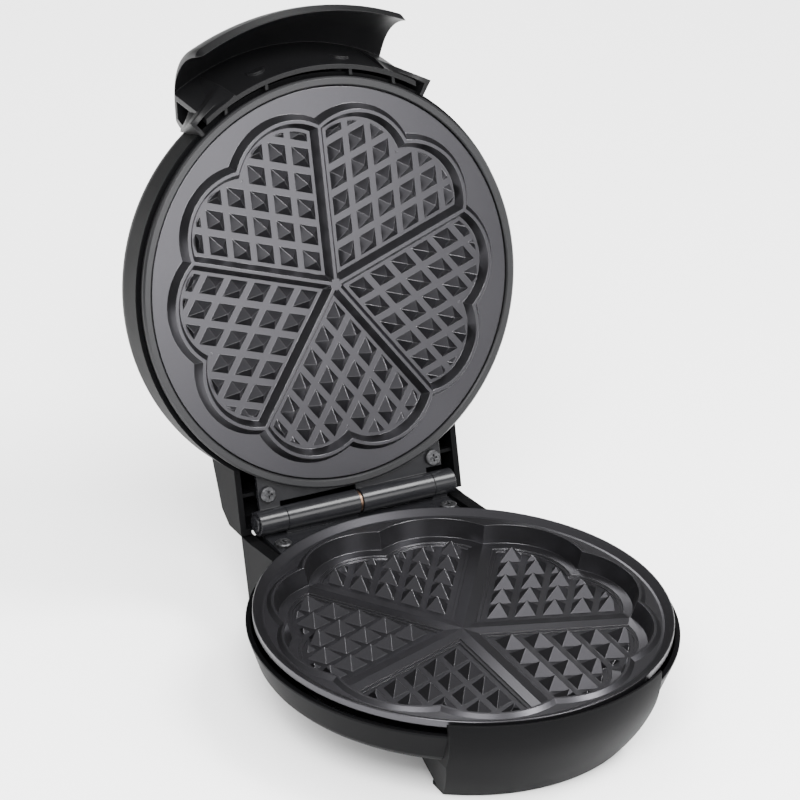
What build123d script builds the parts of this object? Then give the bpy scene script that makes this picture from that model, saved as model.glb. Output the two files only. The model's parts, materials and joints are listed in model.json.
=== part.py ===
from build123d import *
import os
from math import cos, radians, sin

os.makedirs("parts", exist_ok=True)

# Electric waffle iron for five heart-shaped waffles, standing open. Millimetres.
# +X is the right of the machine, +Y its rear, where the hinge is, and the table is Z = 0.
# Lower pieces are drawn about the lower plate's centre, with height 0 in the plane of its lip.
# Lid pieces are drawn in the same way, as if the lid were shut, in a frame turned open at the hinge.

LIP_HEIGHT = 47.0
PLATE_BACK = -53.34
OPEN_ANGLE = 106.8

# Fits
GAP = 0.3
RUNNING = 0.05
SCREW_PLAY = 0.2
FAR = 160.0

# The heart pattern, shared by both plates
SECTORS = 5
HALF_SECTOR = 180.0 / SECTORS
FRONT = -90.0

# Lower plate: depths run down from its lip, one step below the other
LIP_R = 97.0
LIP_INNER_R = LIP_R - 0.8
LIP_FOOT_R = LIP_R - 4.4
ANNULUS_DROP = 2.5
SKIRT_DROP = 3.3
LOWER_LOBE_R = 50.2
WALL_DROP = 0.9
WALL_REACH = LIP_R - 9.2
WALL_CREST = 1.2
WALL_FLANK = 2.0
FOOT_DROP = 9.5
FOOT_REACH = WALL_REACH - 2.4
LEDGE_DROP = FOOT_DROP + 0.6
LEDGE_WIDTH = 4.2
STEP_DROP = LEDGE_DROP + 0.5
STEP_BAND = 5.1
FIELD_DROP = STEP_DROP + 0.6
FIELD_BAND = STEP_BAND + 1.65
STEP_DRAFT = 0.15
ROOF_RISE = 0.5
LOWER_PYRAMID = 9.4
LOWER_PITCH = 12.55
LOWER_FIRST = 9.7
LOWER_RISE = 5.6
LOWER_CLIP = 2.2
LOWER_BODY_R = WALL_REACH
LOWER_UNDER = FIELD_DROP + 2.2
LOWER_FLANGE = 2.4

# Upper plate
UPPER_R = LIP_R - 3.5
UPPER_FACE = 2.0
UPPER_THICK = 4.0
UPPER_LOBE_R = 52.8
RIDGE_REACH = UPPER_R - 10.7
RIDGE_NOTCH = UPPER_R - 18.1
RIDGE_RISE = 4.3
RIDGE_CREST = 0.75
RIDGE_FOOT = 3.3
UPPER_PYRAMID = 8.56
UPPER_PITCH = 11.79
UPPER_FIRST = 4.95
UPPER_RISE = 4.7
UPPER_CLIP = 4.8
HUB_R = 5.6
SLAB = 1.0

# Tubular heaters
HEATER_R = 58.0
HEATER_TUBE_R = 3.3
HEATER_GAP = 50.0
RAIL_HALF = HEATER_TUBE_R + 1.3
LOWER_RAIL = 2.8
HEATER_PROUD = 0.7
PIN_R = 1.2
PIN_LENGTH = 12.0
WIRE_R = 1.1
WIRE_BEND = 3.0

# Screws and bosses
SCREW_R = 2.0
SCREW_HEAD_R = 3.9
SCREW_HEAD = 2.0
SLOT_WIDTH = 0.9
SLOT_DEPTH = 1.1
BOSS_R = 4.5
PLATE_BOSS_AT = HEATER_R + 14.0
PLATE_BOSS_ANGLES = (45.0, 135.0, 235.0, 305.0)

# Base casing: a round tub and a hinge block behind it
WALL = 2.4
RIM_R = LIP_R + 3.0
RIM_DROP = 6.3
RIM_LAND = 1.0
SHOULDER_R = RIM_R - 4.6
FLOOR_DROP = LOWER_UNDER + 11.6
SHOULDER_DROP = FLOOR_DROP - 5.0
FLOOR_R = RIM_R - 13.5
PLATE_CLEARANCE_R = LIP_R + 1.3
BLOCK_HALF = 58.0
RAIL_INNER = BLOCK_HALF - 6.0
HINGE_BACK = RIM_R + 6.9
HINGE_UP = 2.8
RAIL_FRONT = (RIM_R - 21.0, 1.6)
RAIL_REAR = (HINGE_BACK - 2.9, 4.6)
BLOCK_CORNER = (HINGE_BACK + 5.1, 5.0)
BLOCK_WAIST = (HINGE_BACK - 4.9, LIP_HEIGHT - 11.0)
BLOCK_FRONT = RIM_R - 34.0
BLOCK_BACK = HINGE_BACK - 6.4
BLOCK_HEM = LIP_HEIGHT - 1.5
DECK_DROP = 6.0
COVER = 2.0
COVER_DROP = LIP_HEIGHT - 4.5
COVER_BOSS_X = BLOCK_HALF - 6.4
COVER_BOSS_BACKS = (BLOCK_FRONT + 8.0, BLOCK_BACK - 9.5)
COVER_BOSSES = [(hand * COVER_BOSS_X, back) for back in COVER_BOSS_BACKS for hand in (-1, 1)]
COVER_BOSS_RISE = 14.0
WIRE_DOOR = (22.0, 5.0)
WIRE_DOOR_BACK = FLOOR_R - 4.0

# Front apron
APRON_HALF_ANGLE = 38.0
APRON_HEM = LIP_HEIGHT - 0.5
APRON_OUTLINE = (
    (RIM_R + 1.0, 0.0),
    (RIM_R + 1.5, 6.3),
    (RIM_R + 0.2, 15.0),
    (RIM_R - 3.5, 25.0),
    (RIM_R - 9.0, APRON_HEM - 10.5),
    (RIM_R - 16.0, APRON_HEM),
)
APRON_WALL = 2.5
APRON_SHELF_R = FLOOR_R - 7.5
APRON_SHELF = 2.0
APRON_SCREW_AT = FLOOR_R - 0.5
APRON_SCREW_SPREAD = 24.0
FOOT_SHELF_R = RIM_R - 34.0
APRON_EDGE = ((55.0, 0.0), (52.6, 25.0), (47.0, APRON_HEM))
GUSSET_OUTLINE = (
    (5.0 - RIM_R, FLOOR_DROP - 1.0),
    (54.0 - RIM_R, FLOOR_DROP - 1.0),
    (50.0 - RIM_R, FLOOR_DROP + 6.0),
    (33.5 - RIM_R, APRON_HEM),
    (5.0 - RIM_R, APRON_HEM),
)

# Rubber feet
FOOT_R = 6.5
STEM_R = 2.4
FRONT_FOOT_AT = FOOT_SHELF_R + 8.0
FRONT_FOOT_SPREAD = 22.0
REAR_FEET = ((-38.0, BLOCK_BACK - 12.5), (38.0, BLOCK_BACK - 12.5))

# Hinge
BARREL_R = 6.0
PIN_BARREL_R = 3.0
LEAF_HALF = RAIL_INNER - 3.0
LEAF = 2.0
LEAF_TUCK = 3.0
LOWER_LEAF_R = PLATE_CLEARANCE_R + 0.4
UPPER_LEAF_R = UPPER_R + 0.8
UPPER_LEAF_LOW = 5.0
UPPER_LEAF_BACK = HINGE_BACK - 7.9
LOWER_BARRELS = ((-37.9, 0.4), (41.0, RAIL_INNER))
UPPER_BARRELS = ((-RAIL_INNER - 0.6, -38.2), (2.2, 40.7))
WASHER_SPAN = (0.7, 1.9)
PIN_SPAN = (-RAIL_INNER - 0.7, RAIL_INNER + 0.1)
PIN_HEAD_R = 4.2
PIN_HEAD = 1.0
LEAF_SCREW_X = LEAF_HALF - 4.6
LEAF_SCREWS = ((-LEAF_SCREW_X, HINGE_BACK - 12.5), (LEAF_SCREW_X, HINGE_BACK - 12.5))
LEAF_BOSS = 8.0

# Ring round the upper plate
RING_R = LIP_R + 1.0
RING_INNER_R = UPPER_R + 0.4
RING_LOW = 1.0
RING_HIGH = RING_LOW + 2.8
RING_WEB_R = RING_R - 0.9
RING_WEB = 1.9
RING_SHELF_LOW = UPPER_FACE + UPPER_THICK + 1.6
RING_SHELF_HIGH = RING_SHELF_LOW + 2.0
RING_SHELF_R = RING_R - 15.0
RING_BOSS_AT = RING_R - 9.0
RING_BOSS_ANGLES = (18.0, 162.0, 205.0, 335.0)
UPPER_BOSS_AT = RING_R - 10.2
UPPER_BOSS_ANGLES = (40.0, 140.0, 230.0, 310.0)

# Lid shell: its heights stand on the reflector behind the upper plate
UPPER_REFLECTOR_HEIGHT = UPPER_FACE + UPPER_THICK + 9.0
LID_ROOM = 28.5
LID_CROWN = UPPER_REFLECTOR_HEIGHT + LID_ROOM
LID_WALL = 2.4
LID_RIM_R = RING_R + 1.8
LID_RIM_HEIGHT = 6.0
LID_BREAK_R = LID_RIM_R - 1.2
LID_BREAK_HEIGHT = LID_CROWN - 21.5
LID_SHOULDER_R = LID_RIM_R - 19.8
LID_SHOULDER_HEIGHT = LID_CROWN - 3.8
LID_BLOCK_HALF = BLOCK_HALF + 1.5
LID_BLOCK_WALL = 3.0
LID_BLOCK = (
    (HINGE_BACK - 44.9, 6.4),
    (HINGE_BACK + 5.4, 6.4),
    (HINGE_BACK + 1.9, LID_CROWN - 24.5),
    (HINGE_BACK - 5.4, LID_CROWN - 18.5),
    (HINGE_BACK - 28.9, LID_CROWN - 13.5),
    (HINGE_BACK - 44.9, LID_CROWN - 10.5),
)
LID_NOTCH_HALF = RAIL_INNER + 1.8
LID_NOTCH_TOP = 10.0
LID_RIB_BACK = HINGE_BACK - 13.4
LID_RIB = 1.6
RING_BOSS_TOP = LID_CROWN - 12.5

# Front grip: a hood with upright cheeks over a finger channel, and a flared rim band
GRIP_HALF_ANGLE = 33.0
GRIP_HALF = 55.0
GRIP_EDGE = 5.0
GRIP_SKIN = (
    (LID_RIM_R - 17.8, LID_CROWN - 2.3),
    (LID_RIM_R - 1.8, LID_CROWN - 2.9),
    (LID_RIM_R + 12.2, LID_CROWN - 5.4),
    (LID_RIM_R + 23.6, LID_CROWN - 13.5),
    (LID_RIM_R + 29.8, LID_CROWN - 26.5),
    (LID_RIM_R + 31.3, 6.0),
)
GRIP_LIP = (LID_RIM_R + 28.8, 2.0)
GRIP_HOLLOW = ((LID_RIM_R + 27.4, 15.0), (LID_RIM_R + 21.0, LID_CROWN - 16.0))
GRIP_CREASE = (LID_RIM_R + 11.5, LID_CROWN - 7.6)
GRIP_BAND_R = LID_RIM_R + 3.8
GRIP_BAND_LOW = 2.0
GRIP_WALL = 2.2
GRIP_SHOULDER = (LID_RIM_R - 1.8, LID_CROWN - 9.0)
GRIP_ROOT = (LID_RIM_R - 17.8, LID_CROWN - 8.9)
GRIP_RIBS = (-44.0, -22.0, 22.0, 44.0)
GRIP_RIB = 1.6
GRIP_RIB_RISE = 1.2
WING_FROM = 22.0
WING_TO = 36.0
WING_ROOT = (
    (LID_RIM_R - 0.8, 2.0),
    (LID_RIM_R + 4.6, 2.0),
    (LID_RIM_R + 5.5, 5.0),
    (LID_RIM_R + 8.4, 14.0),
    (LID_RIM_R + 11.0, LID_CROWN - 13.5),
    (LID_RIM_R + 11.0, LID_CROWN - 8.0),
    (LID_RIM_R - 0.8, LID_CROWN - 5.0),
)
WING_TIP = (
    (LID_RIM_R - 0.8, 2.0),
    (LID_RIM_R + 7.6, 2.0),
    (LID_RIM_R + 7.4, 4.2),
    (LID_RIM_R + 4.6, 12.0),
    (LID_RIM_R + 3.2, LID_CROWN - 26.5),
    (LID_RIM_R + 1.8, LID_CROWN - 21.5),
    (LID_RIM_R - 0.8, LID_CROWN - 17.5),
)
GRIP_SCREW_HEIGHT = 14.0
SPOT_FACE = 0.6
GRIP_SCREW_ANGLES = (-102.0, -78.0)
GRIP_SCREW_LENGTH = 7.5

# Controls on the lid
DIAL_FORWARD = LID_SHOULDER_R - 30.0
DIAL_R = 16.0
DIAL_HEIGHT = 12.0
DIAL_SKIRT_R = DIAL_R + 2.0
DIAL_SKIRT = 2.6
DIAL_SEAT_R = DIAL_SKIRT_R + 1.5
DIAL_SEAT_TOP = LID_CROWN + 0.9
SHAFT_R = 3.0
SHAFT_BASE = UPPER_REFLECTOR_HEIGHT + 6.0
SHAFT_TOP = DIAL_SEAT_TOP + 8.6
THERMOSTAT = (30.0, 22.0, 12.0)
LUG = 9.0
LUG_THICK = 1.5
FLUTES = 24
FLUTE_R = 1.2
POINTER = 2.0
LENS_X = 31.0
LENS_FORWARD = DIAL_FORWARD + 14.0
LENS_AT = ((-LENS_X, -LENS_FORWARD), (LENS_X, -LENS_FORWARD))
LENS_R = 4.0
LENS_TOP = LID_CROWN - 1.5
LENS_FLANGE_R = LENS_R + 1.4
LENS_FLANGE = (LID_CROWN - 7.6, LID_CROWN - 6.2)
LAMP_R = 2.2
LAMP_SPAN = (LID_CROWN - 17.5, LENS_FLANGE[0] - 0.2)
CARRIER = (2 * LENS_X + 16.0, 10.0, 2.0)
CARRIER_FORWARD = LENS_FORWARD + 2.3
CARRIER_POSTS = ((-18.0, -LENS_FORWARD), (18.0, -LENS_FORWARD))
CARRIER_LOW = LID_CROWN - 15.0
CARRIER_POST_TOP = LID_CROWN - 3.7

# Inner sheet and electrical pieces
REFLECTOR_R = FLOOR_R - 6.5
SHEET = 0.6
REFLECTOR_RIM = 3.0
POST_AT = REFLECTOR_R - 9.0
POST_R = 3.6
POST_ANGLES = (20.0, 160.0, 200.0, 340.0)
LIMITER_R = 8.0
LIMITER_HEIGHT = 6.0
FUSE_R = 2.0
FUSE_LENGTH = 14.0
FUSE_AT = (-30.0, 12.0)
TERMINALS = (34.0, 12.0, 9.0)
WIRE_SPREAD = 6.0
UPPER_WIRE_RUN = 7.43
GLAND_HEIGHT = 24.0
GLAND_SIDE = -30.0
GLAND_R = 5.4
GLAND_BORE_R = GLAND_R - 1.8
GLAND_FLANGE_R = GLAND_R + 2.6
GLAND_FLANGE = 2.2

base = Plane((0, PLATE_BACK, LIP_HEIGHT))
hinge = Plane((0, PLATE_BACK + HINGE_BACK, LIP_HEIGHT + HINGE_UP))
lid = Plane(hinge.rotated((-OPEN_ANGLE, 0, 0)).location * Location((0, -HINGE_BACK, -HINGE_UP)))

bottom = (Align.CENTER, Align.CENTER, Align.MIN)
top = (Align.CENTER, Align.CENTER, Align.MAX)


def section(frame, angle=0.0):
    """Upright plane through the frame's axis: x runs outwards at the angle, y upwards."""
    return Plane(frame.location * Location((0, 0, 0), (0, 0, angle)) * Location((0, 0, 0), (90, 0, 0)))


def side(frame):
    """Upright plane along the machine: x runs to the rear, y upwards, and the normal to the right."""
    return Plane(origin=frame.origin, x_dir=frame.y_dir, z_dir=frame.x_dir)


def spindle(frame):
    """The frame's upright axis."""
    return Axis(frame.origin, frame.z_dir)


def below(points):
    """Section points given as a distance and a drop, as distances and heights."""
    return [(across, -drop) for across, drop in points]


def polar(radius, angle):
    """Point at a radius and an angle in plan."""
    return (radius * cos(radians(angle)), radius * sin(radians(angle)))


def turned(outline, angle=0.0, arc=360.0, curved=()):
    """Solid turned about the upright axis from an outline of radii and heights, begun by a curve."""
    with BuildPart() as solid:
        with BuildSketch(section(Plane.XY, angle)):
            with BuildLine():
                if curved:
                    Spline(*curved)
                Polyline(*outline, close=not curved)
            make_face()
        revolve(axis=Axis.Z, revolution_arc=arc)
    return solid.part


def screw(length):
    """Pan-head screw with a cross recess, its head standing on height 0 and its shank below."""
    with BuildPart() as body:
        Cylinder(SCREW_R, length, align=top)
        Cylinder(SCREW_HEAD_R, SCREW_HEAD, align=bottom)
        chamfer(body.edges().group_by(Axis.Z)[-1], SCREW_HEAD / 4)
        with Locations((0, 0, SCREW_HEAD)):
            Box(SCREW_HEAD_R, SLOT_WIDTH, SLOT_DEPTH, align=top, mode=Mode.SUBTRACT)
            Box(SLOT_WIDTH, SCREW_HEAD_R, SLOT_DEPTH, align=top, mode=Mode.SUBTRACT)
    return body.part


def lobed(low_reach, high_reach, lobe_r, height):
    """Plug with ten drafted lobes that meet in notches, its hearts centred on +X and every 72 degrees."""
    with BuildPart() as plug:
        Cylinder(lobe_r, height, align=bottom)
        with PolarLocations(lobe_r, 2 * SECTORS, start_angle=HALF_SECTOR / 2):
            Cone(low_reach - lobe_r, high_reach - lobe_r, height, align=bottom)
    return plug.part


def wedge(band, height):
    """Sector about +X whose sides lie a band's width off the two divider axes beside it."""
    tip = band / sin(radians(HALF_SECTOR))
    reach = (FAR * cos(radians(HALF_SECTOR)), FAR * sin(radians(HALF_SECTOR)))
    with BuildPart() as sector:
        with BuildSketch():
            with BuildLine():
                Polyline((tip, 0), (tip + reach[0], reach[1]), (tip + reach[0], -reach[1]), close=True)
            make_face()
        extrude(amount=height)
    return sector.part


def heart(reach, draft, lobe_r, band, height):
    """One heart-shaped step, lobes drafted inwards towards its floor at height 0."""
    with BuildPart() as plug:
        add(lobed(reach - draft, reach, lobe_r, height))
        add(wedge(band, height), mode=Mode.INTERSECT)
    return plug.part


def pyramids(first, side_length, pitch, rise, reach, lobe_r):
    """One heart's field of pyramids on a thin slab, cut off at the field's lobed edge."""
    count = int((reach - first) / pitch) + 1
    across = Plane(
        (0, 0, 0),
        x_dir=(sin(radians(HALF_SECTOR)), -cos(radians(HALF_SECTOR)), 0),
        z_dir=(-cos(radians(HALF_SECTOR)), -sin(radians(HALF_SECTOR)), 0),
    )
    saw = [(0, -SLAB), (0, 0)]
    for tooth in range(count):
        start = first + tooth * pitch
        saw += [(start, 0), (start + side_length / 2, rise), (start + side_length, 0)]
    saw += [(first + count * pitch, 0), (first + count * pitch, -SLAB)]
    with BuildPart() as ridges:
        with BuildSketch(across):
            with BuildLine():
                Polyline(*saw, close=True)
            make_face()
        extrude(amount=-FAR)
    with BuildPart() as field:
        add(ridges.part)
        add(ridges.part.mirror(Plane.XZ), mode=Mode.INTERSECT)
        with Locations((0, 0, -SLAB)):
            add(lobed(reach, reach - SLAB, lobe_r, SLAB + rise), mode=Mode.INTERSECT)
    return field.part


def heater():
    """Tubular heater on height 0: an open ring with a cold pin at each end."""
    start = 90 + HEATER_GAP / 2
    with BuildPart() as tube:
        with BuildSketch(section(Plane.XY, start)):
            with Locations((HEATER_R, 0)):
                Circle(HEATER_TUBE_R)
        revolve(axis=Axis.Z, revolution_arc=360 - HEATER_GAP)
        for end in (-1, 1):
            across, along = polar(HEATER_R, 90 + end * HEATER_GAP / 2)
            with BuildSketch(Plane((across, along, 0), x_dir=(1, 0, 0), z_dir=(0, 1, 0))):
                Circle(PIN_R)
            extrude(amount=PIN_LENGTH)
    return tube.part


def wire(*points):
    """Insulated lead along a route with rounded corners."""
    with BuildPart() as lead:
        with BuildLine() as route:
            FilletPolyline(*points, radius=WIRE_BEND)
        with BuildSketch(Plane(route.wire() @ 0, z_dir=route.wire() % 0)):
            Circle(WIRE_R)
        sweep(path=route.wire())
    return lead.part


def tub(inset, rim):
    """Round tub: flat floor, bent shoulder and a leaning wall that ends at the height of its rim."""
    floor = -FLOOR_DROP + inset
    with BuildPart() as solid:
        with BuildSketch(Plane.XZ):
            with BuildLine():
                bottom_line = Line((0, floor), (FLOOR_R, floor))
                shoulder = TangentArc(
                    bottom_line @ 1, (SHOULDER_R - inset, -SHOULDER_DROP + inset / 2), tangent=(1, 0)
                )
                Polyline(
                    shoulder @ 1,
                    (RIM_R - inset, -RIM_DROP - RIM_LAND),
                    (RIM_R - inset, rim),
                    (0, rim),
                    (0, floor),
                )
            make_face()
        revolve(axis=Axis.Z)
    return solid.part


def dome(inset):
    """Lid's round form: low crown, round shoulder and a steep wall down to the rim."""
    with BuildPart() as solid:
        with BuildSketch(Plane.XZ):
            with BuildLine():
                crown = TangentArc(
                    (0, LID_CROWN - inset), (LID_SHOULDER_R, LID_SHOULDER_HEIGHT - inset), tangent=(1, 0)
                )
                TangentArc(crown @ 1, (LID_BREAK_R - inset, LID_BREAK_HEIGHT), tangent=crown % 1)
                Polyline(
                    (LID_BREAK_R - inset, LID_BREAK_HEIGHT),
                    (LID_RIM_R - inset, LID_RIM_HEIGHT),
                    (0, LID_RIM_HEIGHT),
                    (0, LID_CROWN - inset),
                )
            make_face()
        revolve(axis=Axis.Z)
    return solid.part


def prism(outline, half_width):
    """Solid drawn from the side, from a closed outline of rearward distances and heights."""
    with BuildPart() as solid:
        with BuildSketch(side(Plane.XY)):
            with BuildLine():
                Polyline(*outline, close=True)
            make_face()
        extrude(amount=half_width, both=True)
    return solid.part


def finish(piece, name):
    """Label a finished piece and write it out."""
    piece.part.label = name
    export_step(piece.part, f"parts/{name}.step")


# Lower plate: cast aluminium, a raised wall round the hearts, and a lip that turns down as a skirt
first_heart = FRONT + HALF_SECTOR
plate_boss_spots = [polar(PLATE_BOSS_AT, angle) for angle in PLATE_BOSS_ANGLES]
wall_draft = (WALL_REACH - FOOT_REACH) / (FOOT_DROP - WALL_DROP)
with BuildPart(base) as lower_plate:
    add(
        turned(
            below(
                [
                    (0, ANNULUS_DROP),
                    (LIP_FOOT_R - 1, ANNULUS_DROP),
                    (LIP_FOOT_R, ANNULUS_DROP - 0.3),
                    (LIP_INNER_R, 0.15),
                    (LIP_INNER_R + 0.3, 0),
                    (LIP_R - 0.2, 0),
                    (LIP_R, 0.25),
                    (LIP_R, SKIRT_DROP),
                    (LIP_R - 1.4, SKIRT_DROP),
                    (LIP_FOOT_R, ANNULUS_DROP + LOWER_FLANGE),
                    (LOWER_BODY_R + 1.5, ANNULUS_DROP + LOWER_FLANGE),
                    (LOWER_BODY_R, FOOT_DROP),
                    (LOWER_BODY_R, LOWER_UNDER),
                    (HEATER_R + RAIL_HALF, LOWER_UNDER),
                    (HEATER_R + RAIL_HALF - 0.4, LOWER_UNDER + LOWER_RAIL),
                    (HEATER_R - RAIL_HALF + 0.4, LOWER_UNDER + LOWER_RAIL),
                    (HEATER_R - RAIL_HALF, LOWER_UNDER),
                    (0, LOWER_UNDER),
                ]
            )
        )
    )
    with Locations((0, 0, -ANNULUS_DROP)):
        add(
            lobed(
                WALL_REACH + WALL_CREST + WALL_FLANK,
                WALL_REACH + WALL_CREST,
                LOWER_LOBE_R,
                ANNULUS_DROP - WALL_DROP,
            ),
            rotation=(0, 0, first_heart),
        )
    with Locations((0, 0, -FOOT_DROP)):
        add(
            lobed(FOOT_REACH, WALL_REACH + wall_draft * WALL_DROP, LOWER_LOBE_R, FOOT_DROP),
            rotation=(0, 0, first_heart),
            mode=Mode.SUBTRACT,
        )
    with Locations((0, 0, -LEDGE_DROP)):
        add(
            lobed(FOOT_REACH - LEDGE_WIDTH, FOOT_REACH, LOWER_LOBE_R, LEDGE_DROP - FOOT_DROP),
            rotation=(0, 0, first_heart),
            mode=Mode.SUBTRACT,
        )
    step_reach = FOOT_REACH - LEDGE_WIDTH - 0.1
    field_reach = step_reach - (FIELD_BAND - STEP_BAND)
    with Locations((0, 0, -STEP_DROP)):
        with PolarLocations(0, SECTORS, start_angle=first_heart):
            add(
                heart(step_reach, STEP_DRAFT, LOWER_LOBE_R, STEP_BAND, STEP_DROP - LEDGE_DROP),
                mode=Mode.SUBTRACT,
            )
    with Locations((0, 0, -FIELD_DROP)):
        with PolarLocations(0, SECTORS, start_angle=first_heart):
            add(
                heart(field_reach, STEP_DRAFT, LOWER_LOBE_R, FIELD_BAND, FIELD_DROP - STEP_DROP),
                mode=Mode.SUBTRACT,
            )
    for spoke in range(SECTORS):
        with BuildSketch(section(base, FRONT + 90 + spoke * 2 * HALF_SECTOR)):
            with Locations((0, -LEDGE_DROP)):
                Polygon((-STEP_BAND, 0), (STEP_BAND, 0), (0, ROOF_RISE), align=None)
        extrude(amount=FOOT_REACH - LEDGE_WIDTH - 2)
    with Locations((0, 0, -FIELD_DROP)):
        with PolarLocations(0, SECTORS, start_angle=first_heart):
            add(
                pyramids(
                    LOWER_FIRST,
                    LOWER_PYRAMID,
                    LOWER_PITCH,
                    LOWER_RISE,
                    field_reach - LOWER_CLIP,
                    LOWER_LOBE_R,
                )
            )
    with Locations(*[(x, y, WALL - FLOOR_DROP) for x, y in plate_boss_spots]):
        Cylinder(BOSS_R, FLOOR_DROP - WALL - LOWER_UNDER, align=bottom)
        Cylinder(SCREW_R + RUNNING, FLOOR_DROP - WALL - LOWER_UNDER, align=bottom, mode=Mode.SUBTRACT)
    with Locations((0, 0, -LOWER_UNDER - HEATER_PROUD - HEATER_TUBE_R)):
        Torus(HEATER_R, HEATER_TUBE_R + RUNNING, mode=Mode.SUBTRACT)
finish(lower_plate, "lower_plate")

# Upper plate: flat cast plate with raised ridges between and round the hearts, its face downwards
upper_face = Plane(lid.offset(UPPER_FACE).location * Location((0, 0, 0), (180, 0, 0)))
ridge_slope = (RIDGE_FOOT - RIDGE_CREST) / RIDGE_RISE
upper_boss_spots = [polar(UPPER_BOSS_AT, angle) for angle in UPPER_BOSS_ANGLES]
post_spots = [polar(POST_AT, angle) for angle in POST_ANGLES]
with BuildPart(upper_face) as upper_plate:
    add(
        lobed(RIDGE_REACH + RIDGE_FOOT, RIDGE_REACH + RIDGE_CREST, UPPER_LOBE_R, RIDGE_RISE),
        rotation=(0, 0, -first_heart),
    )
    add(
        lobed(RIDGE_REACH - RIDGE_FOOT, RIDGE_REACH - RIDGE_CREST, UPPER_LOBE_R, RIDGE_RISE),
        rotation=(0, 0, -first_heart),
        mode=Mode.SUBTRACT,
    )
    for spoke in range(SECTORS):
        with BuildSketch(section(upper_face, 90 - FRONT + spoke * 2 * HALF_SECTOR)):
            Polygon(
                (-RIDGE_FOOT, 0),
                (RIDGE_FOOT, 0),
                (RIDGE_CREST, RIDGE_RISE),
                (-RIDGE_CREST, RIDGE_RISE),
                align=None,
            )
        extrude(amount=RIDGE_NOTCH)
    with BuildSketch(upper_face):
        RegularPolygon(HUB_R, SECTORS, rotation=-first_heart)
    with BuildSketch(upper_face.offset(RIDGE_RISE)):
        RegularPolygon(HUB_R - ridge_slope * RIDGE_RISE, SECTORS, rotation=-first_heart)
    loft(ruled=True)
    with PolarLocations(0, SECTORS, start_angle=-first_heart):
        add(
            pyramids(
                UPPER_FIRST,
                UPPER_PYRAMID,
                UPPER_PITCH,
                UPPER_RISE,
                RIDGE_REACH - UPPER_CLIP,
                UPPER_LOBE_R,
            )
        )
    add(
        turned(
            [
                (0, 0),
                (UPPER_R - 0.4, 0),
                (UPPER_R, -0.4),
                (UPPER_R, -UPPER_THICK),
                (HEATER_R + RAIL_HALF, -UPPER_THICK),
                (HEATER_R + RAIL_HALF - 0.4, -UPPER_THICK - LOWER_RAIL),
                (HEATER_R - RAIL_HALF + 0.4, -UPPER_THICK - LOWER_RAIL),
                (HEATER_R - RAIL_HALF, -UPPER_THICK),
                (0, -UPPER_THICK),
            ]
        )
    )
    with Locations((0, 0, -UPPER_THICK - HEATER_PROUD - HEATER_TUBE_R)):
        Torus(HEATER_R, HEATER_TUBE_R + RUNNING, mode=Mode.SUBTRACT)
    with Locations(*[(x, -y, -UPPER_THICK) for x, y in upper_boss_spots]):
        Cylinder(BOSS_R, RING_SHELF_LOW - UPPER_FACE - UPPER_THICK, align=top)
        Cylinder(
            SCREW_R + RUNNING, 2 * (RING_SHELF_LOW - UPPER_FACE - UPPER_THICK) + 1, mode=Mode.SUBTRACT
        )
    with Locations(*[(x, -y, -UPPER_THICK) for x, y in post_spots]):
        Cylinder(POST_R, UPPER_REFLECTOR_HEIGHT - UPPER_FACE - UPPER_THICK, align=top)
        with Locations((0, 0, -UPPER_REFLECTOR_HEIGHT + UPPER_FACE + UPPER_THICK)):
            Cylinder(
                SCREW_R + RUNNING,
                UPPER_REFLECTOR_HEIGHT - UPPER_FACE - UPPER_THICK,
                align=bottom,
                mode=Mode.SUBTRACT,
            )
finish(upper_plate, "upper_plate")

# Tubular heaters, sunk in the rails behind both plates, their cold pins at the rear
pin_across, pin_along = polar(HEATER_R, 90 - HEATER_GAP / 2)
with BuildPart(base) as lower_heater:
    with Locations((0, 0, -LOWER_UNDER - HEATER_PROUD - HEATER_TUBE_R)):
        add(heater())
finish(lower_heater, "lower_heater")

with BuildPart(lid) as upper_heater:
    with Locations((0, 0, UPPER_FACE + UPPER_THICK + HEATER_PROUD + HEATER_TUBE_R)):
        add(heater())
finish(upper_heater, "upper_heater")

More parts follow.
